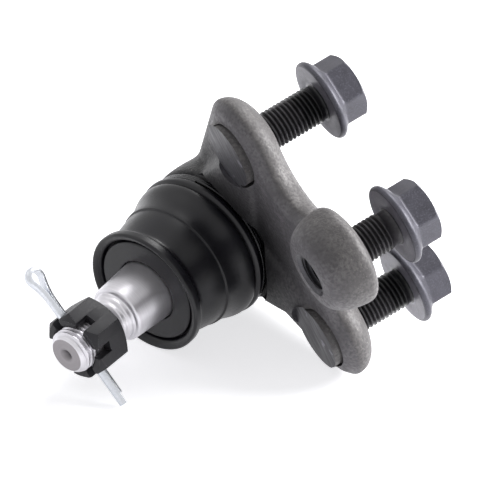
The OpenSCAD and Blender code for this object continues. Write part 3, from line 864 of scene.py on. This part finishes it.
def flange_bolt_shell(look, turn, plain):
    """A flange bolt from its bearing face: head downwards, shank upwards; 0 head, 1 face, 2 thread."""
    shell = Shell()
    angles = hexagon_angles(turn, 15)
    corners = hexagon_radius(angles, turn, look.flats)
    flats_r = look.flats / 2
    corner_r = flats_r / math.cos(math.radians(30))
    top = -look.head_height
    rim = look.flange_diameter / 2
    chamfer = top + 0.25 + (corners - flats_r) * 0.62
    edge_r, edge_z, edge_half = 0.95, -1.15, 1.12
    edge = [(rim - edge_r + edge_r * math.cos(a), edge_z + edge_half * math.sin(a))
            for a in np.radians(np.arange(-60, 91, 15))]
    shell.rings([(0, top + 0.5), (4.2, top + 0.5), (5.0, top + 0.05), (flats_r - 1.3, top),
                 (flats_r - 0.55, top + 0.06), (np.minimum(corners, flats_r) - 0.1, top + 0.2),
                 (corners, chamfer), (corners, -5.2), (corners, -4.6), (corners + 0.08, -4.1),
                 (corners + 0.3, -3.8), (corner_r + 0.55, -3.35), (11.6, -2.7), (12.2, -2.35), *edge], angles)
    bolt_r = look.diameter / 2
    neck = bolt_r - 0.45
    shell.rings([(rim - edge_r, -0.03), (rim - 1.6, 0), (bolt_r + 1.9, 0), (bolt_r + 1.2, -0.12),
                 (neck + 0.5, -0.12)], angles, 1)
    shell.rings([(neck + 0.5, -0.12), (neck + 0.12, 0.1), (neck, 0.4), (neck, plain)], angles, 2)
    end = look.length
    tip_r, depth = bolt_r - 1.5, 0.86
    envelope = ([plain, plain + 0.9, end - 1.3, end], [neck, bolt_r, bolt_r, tip_r])
    shell.thread(bolt_r, bolt_r - depth, look.pitch, plain, end, envelope, angles, 2, 1.4)
    shell.rings([(tip_r, end), (bolt_r - 2.1, end), (0, end)], angles, 2)
    return shell


class BALLJOINT_OT_bolts(bpy.types.Operator):
    """Makes the three flange bolts with rolled threads"""
    bl_idname = "balljoint.bolts"
    bl_label = "Flange bolts"

    def execute(self, context):
        look = context.scene.balljoint_bolts
        head = powdery_steel("bolt_head_phosphate", look.head, 0.36, 0.35)
        face = powdery_steel("bolt_bearing_face", look.face, 0.36, 0.35)
        # Each bolt's turn in degrees, its plain shank and the ends of its locking patch in millimetres.
        rows = (("first", 7, 1.2, (-1, 8)), ("second", 46, 1.2, (-1, 7)), ("end", 4, 2.6, (-9, -8)))
        for name, turn, plain, patch in rows:
            low, high = node_span("flange_bolt_" + name)
            face_z = low.z + look.head_height
            thread = bolt_thread(look, "rolled_thread_" + name, face_z, *patch)
            shell = flange_bolt_shell(look, math.radians(-turn + 30), plain)
            middle = (low + high) / 2
            place = moved(middle.x, middle.y, face_z)
            bolt = shell.build("flange_bolt_" + name + "_piece", place, [head, face, thread])
            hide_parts("flange_bolt_" + name)
            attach(bolt, "socket")
        return {"FINISHED"}


def stud_shell(look):
    """Ball, neck, taper, waist and thread as one turned piece; 0 ground steel, 1 end face."""
    angles = circle(120)
    ball_r = look.ball_diameter / 2
    top = look.taper_top
    thread_r = look.thread_diameter / 2
    thread_depth = 0.6134
    root_r = thread_r - thread_depth * look.pitch
    start, end = look.thread_from, look.reach
    foot = 27.8
    # The taper is 1 in 8 on its diameter, so 1 in 16 on its radius.
    top_r, slope = 9.05, 1 / 16
    wide, slim = (top_r + (top - z) * slope for z in (foot, top - 0.4))
    shell = Shell()
    # The ball runs from a small flat at its foot up to where the neck leaves it.
    flat_z, neck_turn = 0.3 - ball_r, 0.975
    turns = np.linspace(math.asin(flat_z / ball_r), neck_turn, 26)
    ball = [(ball_r * math.cos(a), ball_r * math.sin(a)) for a in turns]
    shell.rings([(0, flat_z)] + ball, angles)
    neck = rounded([ball[-1], (7.0, 12.2), (7.0, 16), (9.6, 23.8), (wide, 25.4), (wide, foot)], 1.6)
    shell.rings(neck, angles)
    shell.rings([(wide, foot), (slim, top - 0.4)], angles)
    waist = rounded([(slim, top - 0.4), (slim - 0.03, top + 0.1), (8.5, top + 0.55), (7.75, top + 0.75),
                     (7.5, top + 1.2), (7.5, top + 2.3), (7.2, top + 2.7), (6.8, top + 3.1), (6.8, top + 4.3),
                     (root_r, start)], 0.3)
    shell.rings(waist, angles)
    envelope = ([start, start + 1.1, end - 1.7, end - 0.12], [root_r, thread_r, thread_r, thread_r - 1.45])
    shell.thread(thread_r, root_r, look.pitch, start, end - 0.12, envelope, angles)
    shell.rings([(thread_r - 1.45, end - 0.12), (thread_r - 1.6, end)], angles)
    mark = [(2.1, end), (1.9, end - 0.08), (0.5, end - 1.5), (0, end - 1.6)]
    shell.rings([(thread_r - 1.6, end)] + mark, angles, 1)
    return shell


def pin_frame(nut, stud):
    """Frame of the cotter pin: X along its legs from the eye, Y along the stud."""
    turned = Matrix.Rotation(nut.turn - math.radians(30), 4, "Z")
    return stud_frame @ moved(0, 0, stud.cross_hole_at) @ turned @ rotated(90, "X")


class BALLJOINT_OT_stud(bpy.types.Operator):
    """Makes the ball stud with its ground taper, thread and cross hole"""
    bl_idname = "balljoint.stud"
    bl_label = "Ball stud"

    def execute(self, context):
        look = context.scene.balljoint_stud
        materials = [ground_steel(look), turned_end(look)]
        stud = stud_shell(look).build("ball_stud_piece", stud_frame, materials)
        along = pin_frame(context.scene.balljoint_nut, look) @ rotated(90, "Y")
        hole = closed_lathe("cross_hole", [(0, -12), (1.8, -12), (1.8, 12), (0, 12)], along, materials, 32)
        cut_away(stud, [hole])
        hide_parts("ball_stud")
        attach(stud, "stud")
        return {"FINISHED"}


def nut_shell(look):
    """Hexagon ring of the castle nut with a domed crown, before its slots are cut."""
    angles = hexagon_angles(0, 13, math.radians(1.2))
    corners = hexagon_radius(angles, 0, look.flats)
    flats_r = look.flats / 2
    high = look.height
    dome = high - 0.1 - (corners - flats_r + 0.35) * 1.05
    base = 0.05 + (corners - flats_r) * 0.5
    inner = np.minimum(corners, flats_r - 0.15)
    shell = Shell()
    shell.rings([(7.05, 0.6), (7.8, 0), (inner, 0), (corners, base), (corners, dome), (inner - 0.15, high),
                 (8.1, high), (7.05, high - 0.9), (7.05, 0.6)], angles)
    return shell


class BALLJOINT_OT_nut(bpy.types.Operator):
    """Makes the slotted castle nut"""
    bl_idname = "balljoint.nut"
    bl_label = "Castle nut"

    def execute(self, context):
        look = context.scene.balljoint_nut
        # The edges are rubbed to bare steel: a thin pale line with a fine break-up.
        worn = mottled("nut_worn_edge", {"Metallic": 0.7}, (0.6, 2), (0.35, 0.65), look.edge,
                       scaled(look.edge, 0.6), (0.35, 0.5))
        materials = [powdery_steel("phosphated_nut", look.phosphate, 0.46, 0.15, 0.015), worn]
        turned = stud_frame @ moved(0, 0, look.base) @ Matrix.Rotation(look.turn, 4, "Z")
        nut = nut_shell(look).build("castle_nut_piece", turned, materials)
        half = look.slot_width / 2
        low, high = (-20, -half, look.height - look.slot_depth), (20, half, look.height + 3)
        cut_away(nut, [closed_box("slot", low, high, turned @ rotated(turn, "Z"), materials)
                       for turn in (30, 90, 150)])
        bevel = nut.modifiers.new("edge", "BEVEL")
        bevel.width = 0.28 * MM
        bevel.segments = 2
        bevel.limit_method = "ANGLE"
        bevel.angle_limit = math.radians(28)
        bevel.material = 1
        bake(nut)
        shade(nut.data)
        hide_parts("castle_nut")
        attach(nut, "stud")
        return {"FINISHED"}


def pin_path(look):
    """Middle of the pin's flat side, in its own plane: up one leg, round the eye and back along the other."""
    wire = look.pin_diameter / 2
    eye_r = 3.4 - wire
    eye_x = wire + eye_r - look.pin_eye_reach
    gap = 0.06
    bend_x = eye_x + 11.5
    touch = math.radians(68)
    on_eye = np.array((eye_x + eye_r * math.cos(touch), eye_r * math.sin(touch)))
    tangent = np.array((math.sin(touch), -math.cos(touch)))
    legs = np.linspace(look.pin_long_leg, bend_x + 0.5, 12)
    short_leg = look.pin_long_leg - look.pin_leg_step
    upper = [(x, gap) for x in legs]
    upper += curve((bend_x, gap), (bend_x - 4.0, gap), on_eye + tangent * 4.5, on_eye)
    around = arc_points((eye_x, 0), eye_r, touch, TURN - touch, 26)[1:-1]
    lower = [(x, -y) for x, y in reversed(upper) if x < short_leg]
    return upper + around + lower + [(short_leg, -gap)]


def wire_tree(material):
    """Sweeps a half-round wire along a flat curve, its round side away from the folded middle."""
    tree, given = nodes_tree("half_round_wire", [("Wire radius", "NodeSocketFloat", 0.0015)])
    upright = add_node(tree, "GeometryNodeSetCurveNormal", {"mode": "Z_UP"}, {
        "Curve": given.outputs["Geometry"]})
    half = add_node(tree, "GeometryNodeCurveArc", {"mode": "RADIUS"}, {
        "Resolution": 14, "Radius": given.outputs["Wire radius"], "Start Angle": math.radians(-90),
        "Sweep Angle": math.radians(180), "Connect Center": True})
    return finish_tree(tree, upright.outputs[0], half.outputs["Curve"], True, material)


class BALLJOINT_OT_pin(bpy.types.Operator):
    """Makes the cotter pin from half-round wire"""
    bl_idname = "balljoint.pin"
    bl_label = "Cotter pin"

    def execute(self, context):
        look = context.scene.balljoint_nut
        # Zinc-plated mild steel wire: bright and nearly white, with drawn lines.
        zinc = mottled("zinc_plated_wire", {"Metallic": 1.0}, (0.5, 2), (0.3, 0.75), look.zinc,
                       scaled(look.zinc, 0.86), (0.28, 0.4))
        pin = grow("cotter_pin_piece", wire_tree(zinc), {"Wire radius": look.pin_diameter / 2 * MM},
                   pin_frame(look, context.scene.balljoint_stud), pin_path(look), False)
        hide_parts("cotter_pin")
        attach(pin, "stud")
        return {"FINISHED"}


def boot_outline():
    """Closed outline of the boot, radius and height: up the outside, over the lip and down the inside."""
    foot = rounded([(19.7, 5.75), (22.3, 5.75), (22.4, 6.2), (21.3, 6.35), (21.3, 9.35), (22.7, 9.4),
                    (23.45, 9.9), (23.4, 11.2), (22.5, 11.9), (22.1, 12.2), (22.3, 12.45),
                    (22.9, 12.75)], 0.3, 3)
    body = curve((23.0, 13.2), (22.85, 16.2), (20.9, 17.2), (20.62, 22.7))
    step = rounded([(20.6, 22.8), (20.55, 23.0), (20.15, 23.12), (20.1, 23.4)], 0.12, 2)
    upper = curve((20.08, 23.6), (19.75, 27.0), (18.9, 29.6), (18.5, 32.4))
    flare = curve((18.5, 32.5), (18.45, 33.2), (18.7, 33.7), (19.45, 34.2), 8)[1:]
    lip = rounded([(19.55, 34.3), (20.15, 34.9), (20.25, 37.1), (19.8, 37.7), (19.2, 37.65), (18.2, 37.1),
                   (17.6, 36.4), (17.3, 35.4), (17.1, 34.9), (16.95, 35.1), (16.8, 36.1), (16.4, 36.4),
                   (13.8, 36.45), (10.6, 36.5), (10.24, 36.3), (10.24, 34.2)], 0.3, 3)
    inside = [(11.2, 34.1), (11.2, 31), (10.6, 30.7), (10.6, 30), (16.75, 29.6), (18.0, 25.5), (18.6, 21.6),
              (19.3, 16.4), (19.7, 11.7)]
    return foot + body + step + upper + flare + lip + inside


def turned_tree(material):
    """Turns an outline about Z: the outline is the profile of a sweep along a circle."""
    tree, given = nodes_tree("turned_piece", [("Around", "NodeSocketInt", 168),
                                              ("Middle radius", "NodeSocketFloat", 0.015)])
    path = add_node(tree, "GeometryNodeCurvePrimitiveCircle", {"mode": "RADIUS"}, {
        "Resolution": given.outputs["Around"], "Radius": given.outputs["Middle radius"]})
    return finish_tree(tree, path.outputs["Curve"], given.outputs["Geometry"], False, material)


class BALLJOINT_OT_boot(bpy.types.Operator):
    """Makes the dust boot between the socket and the stud"""
    bl_idname = "balljoint.boot"
    bl_label = "Dust boot"

    def execute(self, context):
        look = context.scene.balljoint_boot
        middle = 15.0
        outline = [(radius - middle, -height) for radius, height in boot_outline()]
        values = {"Around": look.around, "Middle radius": middle * MM}
        boot = grow("dust_boot_piece", turned_tree(moulded_rubber(look)), values, stud_frame, outline)
        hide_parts("dust_boot")
        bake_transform(boot)
        return {"FINISHED"}


def coil_tree(material):
    """A wire coil about Z: turns, coil radius, rise and wire radius are its inputs."""
    tree, given = nodes_tree("clamp_coil", [
        ("Turns", "NodeSocketFloat", 2.0), ("Coil radius", "NodeSocketFloat", 0.022),
        ("Rise", "NodeSocketFloat", 0.0015), ("Wire radius", "NodeSocketFloat", 0.00075)])
    given = given.outputs
    spiral = add_node(tree, "GeometryNodeCurveSpiral", inputs={
        "Resolution": 96, "Rotations": given["Turns"], "Start Radius": given["Coil radius"],
        "End Radius": given["Coil radius"], "Height": given["Rise"]})
    wire = add_node(tree, "GeometryNodeCurvePrimitiveCircle", {"mode": "RADIUS"}, {
        "Resolution": 14, "Radius": given["Wire radius"]})
    return finish_tree(tree, spiral.outputs["Curve"], wire.outputs["Curve"], True, material)


class BALLJOINT_OT_clamp(bpy.types.Operator):
    """Makes the two-turn wire ring that clamps the boot"""
    bl_idname = "balljoint.clamp"
    bl_label = "Boot clamp ring"

    def execute(self, context):
        look = context.scene.balljoint_boot
        # Black oxide on spring wire: near black with a tight shine.
        oxide = mottled("black_oxide_wire", {"Metallic": 0.3}, (0.7, 2), (0.35, 0.7), look.wire,
                        scaled(look.wire, 1.8), (0.24, 0.36))
        wire_r = look.wire_diameter / 2
        groove_r, groove_z = 21.42, 6.38
        values = {"Turns": 2.12, "Coil radius": (groove_r + wire_r) * MM, "Rise": 1.46 * MM,
                  "Wire radius": (wire_r - 0.02) * MM}
        place = stud_frame @ (moved(0, 0, groove_z + wire_r) @ rotated(200, "Z"))
        ring = grow("clamp_ring_piece", coil_tree(oxide), values, place)
        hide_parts("boot_clamp_ring")
        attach(ring, "socket")
        return {"FINISHED"}


class BALLJOINT_OT_inner(bpy.types.Operator):
    """Gives the CAD pieces inside the joint their real finishes"""
    bl_idname = "balljoint.inner"
    bl_label = "Inner pieces"

    def execute(self, context):
        # Acetal resin, injection moulded: waxy off-white that lets a little light in.
        resin = mottled("acetal_resin", {"IOR": 1.48, "Subsurface Weight": 0.15, "Subsurface Scale": 0.001},
                        (2.5, 2), (0.3, 0.7), linear("#e6e1d2"), linear("#d8d2c0"), (0.32, 0.42))
        finishes = {"closing_plug": powdery_steel("pressed_steel_plug", linear("#4b4a4e"), 0.5, 0.5),
                    "upper_seat": resin, "lower_seat": resin,
                    "disc_spring": spring_steel("spring_steel", "#8d8c8a", 0.28),
                    "boot_end_ring": spring_steel("sprung_ring_steel", "#7a797c", 0.4)}
        for node, material in finishes.items():
            dress(frame["nodes"][node].data, [material])
        return {"FINISHED"}


# The photograph's camera, as fitted to the outlines: its directions, and what it looks at in millimetres.
view_right = Vector((0.41803, 0.36776, -0.83066))
view_up = Vector((-0.855, -0.14968, -0.49655))
view_toward = Vector((-0.30695, 0.91779, 0.25187))
view_target = Vector((6.342, -39.856, 10.850))
# Upright of the table that the joint lies on in the photograph.
floor_up = Vector((-0.859, 0.414, -0.301)).normalized()


def floor_level():
    """Height of the resting plane along floor_up: the lowest point of the shown pieces, in metres."""
    lowest = math.inf
    for obj in bpy.context.scene.objects:
        if obj.type == "MESH" and not obj.hide_render:
            lowest = min(lowest, (coordinates(obj.data) @ np.array(floor_up)).min())
    return lowest


def seen_rays(tree):
    """1 for rays that show a surface, straight, mirrored or through a clear thing, and 0 for its light."""
    path = add_node(tree, "ShaderNodeLightPath").outputs
    seen = path["Is Camera Ray"]
    for ray in ("Is Glossy Ray", "Is Transmission Ray"):
        seen = add_node(tree, "ShaderNodeMath", {"operation": "MAXIMUM"}, {0: seen, 1: path[ray]}).outputs[0]
    return seen


def floor_paint(look):
    """Matt pale studio card: white to the camera and in reflections, and it keeps the soft shadow."""
    material = bpy.data.materials.new("studio_card")
    tree = empty_tree(material)
    card = add_node(tree, "ShaderNodeBsdfDiffuse", inputs={"Color": look.floor})
    lift = add_node(tree, "ShaderNodeMath", {"operation": "MULTIPLY"}, {0: seen_rays(tree), 1: 0.78})
    glow = add_node(tree, "ShaderNodeEmission", inputs={"Color": look.floor, "Strength": lift.outputs[0]})
    lit = add_node(tree, "ShaderNodeAddShader", inputs={0: card.outputs[0], 1: glow.outputs[0]})
    clear = add_node(tree, "ShaderNodeBsdfTransparent")
    under = add_node(tree, "ShaderNodeNewGeometry").outputs["Backfacing"]
    both = add_node(tree, "ShaderNodeMixShader", inputs={0: under, 1: lit.outputs[0], 2: clear.outputs[0]})
    add_node(tree, "ShaderNodeOutputMaterial", inputs={"Surface": both.outputs[0]})
    return material


def studio_world():
    """Even white surroundings, dim as a light and white where they are seen."""
    world = bpy.data.worlds.new("studio")
    tree = empty_tree(world)
    level = add_node(tree, "ShaderNodeMapRange", inputs={
        "Value": seen_rays(tree), "To Min": 0.22, "To Max": 1.0})
    sky = add_node(tree, "ShaderNodeBackground", inputs={"Color": (1, 1, 1, 1), "Strength": level.outputs[0]})
    add_node(tree, "ShaderNodeOutputWorld", inputs={"Surface": sky.outputs[0]})
    return world


def area_light(name, right, up, toward, size, watts):
    """A soft lamp placed from the middle of the view by the camera's own directions, in metres."""
    lamp = bpy.data.lights.new(name, "AREA")
    lamp.shape = "DISK"
    lamp.size = size
    lamp.energy = watts
    place = view_target * MM + view_right * right + view_up * up + view_toward * toward
    back = (place - view_target * MM).normalized()
    turn = back.to_track_quat("Z", "Y").to_matrix().to_4x4()
    add_object(name, lamp).matrix_world = Matrix.Translation(place) @ turn


class BALLJOINT_OT_stage(bpy.types.Operator):
    """Sets up the camera, the pale floor and the studio light"""
    bl_idname = "balljoint.stage"
    bl_label = "Stage"

    def execute(self, context):
        look = context.scene.balljoint_stage
        scene = context.scene
        camera = bpy.data.cameras.new("camera")
        camera.lens = look.lens
        camera.sensor_width = 36
        camera.clip_end = 20
        turn = Matrix((view_right, view_up, view_toward)).transposed().to_4x4()
        scene.camera = add_object("camera", camera)
        scene.camera.matrix_world = Matrix.Translation(view_target * MM + view_toward * look.distance) @ turn
        mesh = bpy.data.meshes.new("floor")
        side = floor_up.cross(view_right).normalized()
        other = side.cross(floor_up).normalized()
        gap = 0.2 * MM
        half = 3
        centre = floor_up * (floor_level() - gap)
        corners = [centre + (side * a + other * b) * half for a, b in ((-1, -1), (1, -1), (1, 1), (-1, 1))]
        mesh.from_pydata([tuple(c) for c in corners], [], [(0, 1, 2, 3)])
        if mesh.polygons[0].normal.dot(floor_up) < 0:
            mesh.flip_normals()
        dress(mesh, [floor_paint(look)])
        floor = add_object("floor", mesh)
        scene.world = studio_world()
        for name, right, up, toward, size, watts in (("left_soft_box", -0.5, 0.5, 0.25, 0.5, 0.3),
                                                     ("right_soft_box", 0.62, 0.28, 0.1, 0.4, 7.4),
                                                     ("top_soft_box", 0.25, 0.78, -0.05, 0.5, 4.2)):
            area_light(name, right, up, toward, size, watts)
        scene.view_settings.view_transform = "Standard"
        return {"FINISHED"}


class BALLJOINT_PT_panel(bpy.types.Panel):
    """Makes the ball joint's pieces and shows their sizes and colours"""
    bl_idname = "BALLJOINT_PT_panel"
    bl_label = "Ball joint"
    bl_space_type = "VIEW_3D"
    bl_region_type = "UI"
    bl_category = "Ball Joint"

    def draw(self, context):
        for operator in operators:
            self.layout.operator(operator.bl_idname)
        for name in looks:
            box = self.layout.box()
            group = getattr(context.scene, name)
            for prop in group.bl_rna.properties:
                if prop.identifier not in ("rna_type", "name"):
                    box.prop(group, prop.identifier)


looks = {"balljoint_forging": ForgingLook, "balljoint_stud": StudLook, "balljoint_nut": NutLook,
         "balljoint_boot": BootLook, "balljoint_bolts": BoltLook, "balljoint_stage": StageLook}
operators = (BALLJOINT_OT_forging, BALLJOINT_OT_bolts, BALLJOINT_OT_stud, BALLJOINT_OT_nut, BALLJOINT_OT_pin,
             BALLJOINT_OT_boot, BALLJOINT_OT_clamp, BALLJOINT_OT_inner, BALLJOINT_OT_stage)


def register():
    for group in looks.values():
        bpy.utils.register_class(group)
    for operator in operators:
        bpy.utils.register_class(operator)
    bpy.utils.register_class(BALLJOINT_PT_panel)
    for name, group in looks.items():
        setattr(bpy.types.Scene, name, PointerProperty(type=group))


def unregister():
    for name in looks:
        delattr(bpy.types.Scene, name)
    bpy.utils.unregister_class(BALLJOINT_PT_panel)
    for operator in operators:
        bpy.utils.unregister_class(operator)
    for group in looks.values():
        bpy.utils.unregister_class(group)


def main():
    register()
    for operator in operators:
        group, call = operator.bl_idname.split(".")
        getattr(getattr(bpy.ops, group), call)()


if __name__ == "__main__":
    main()
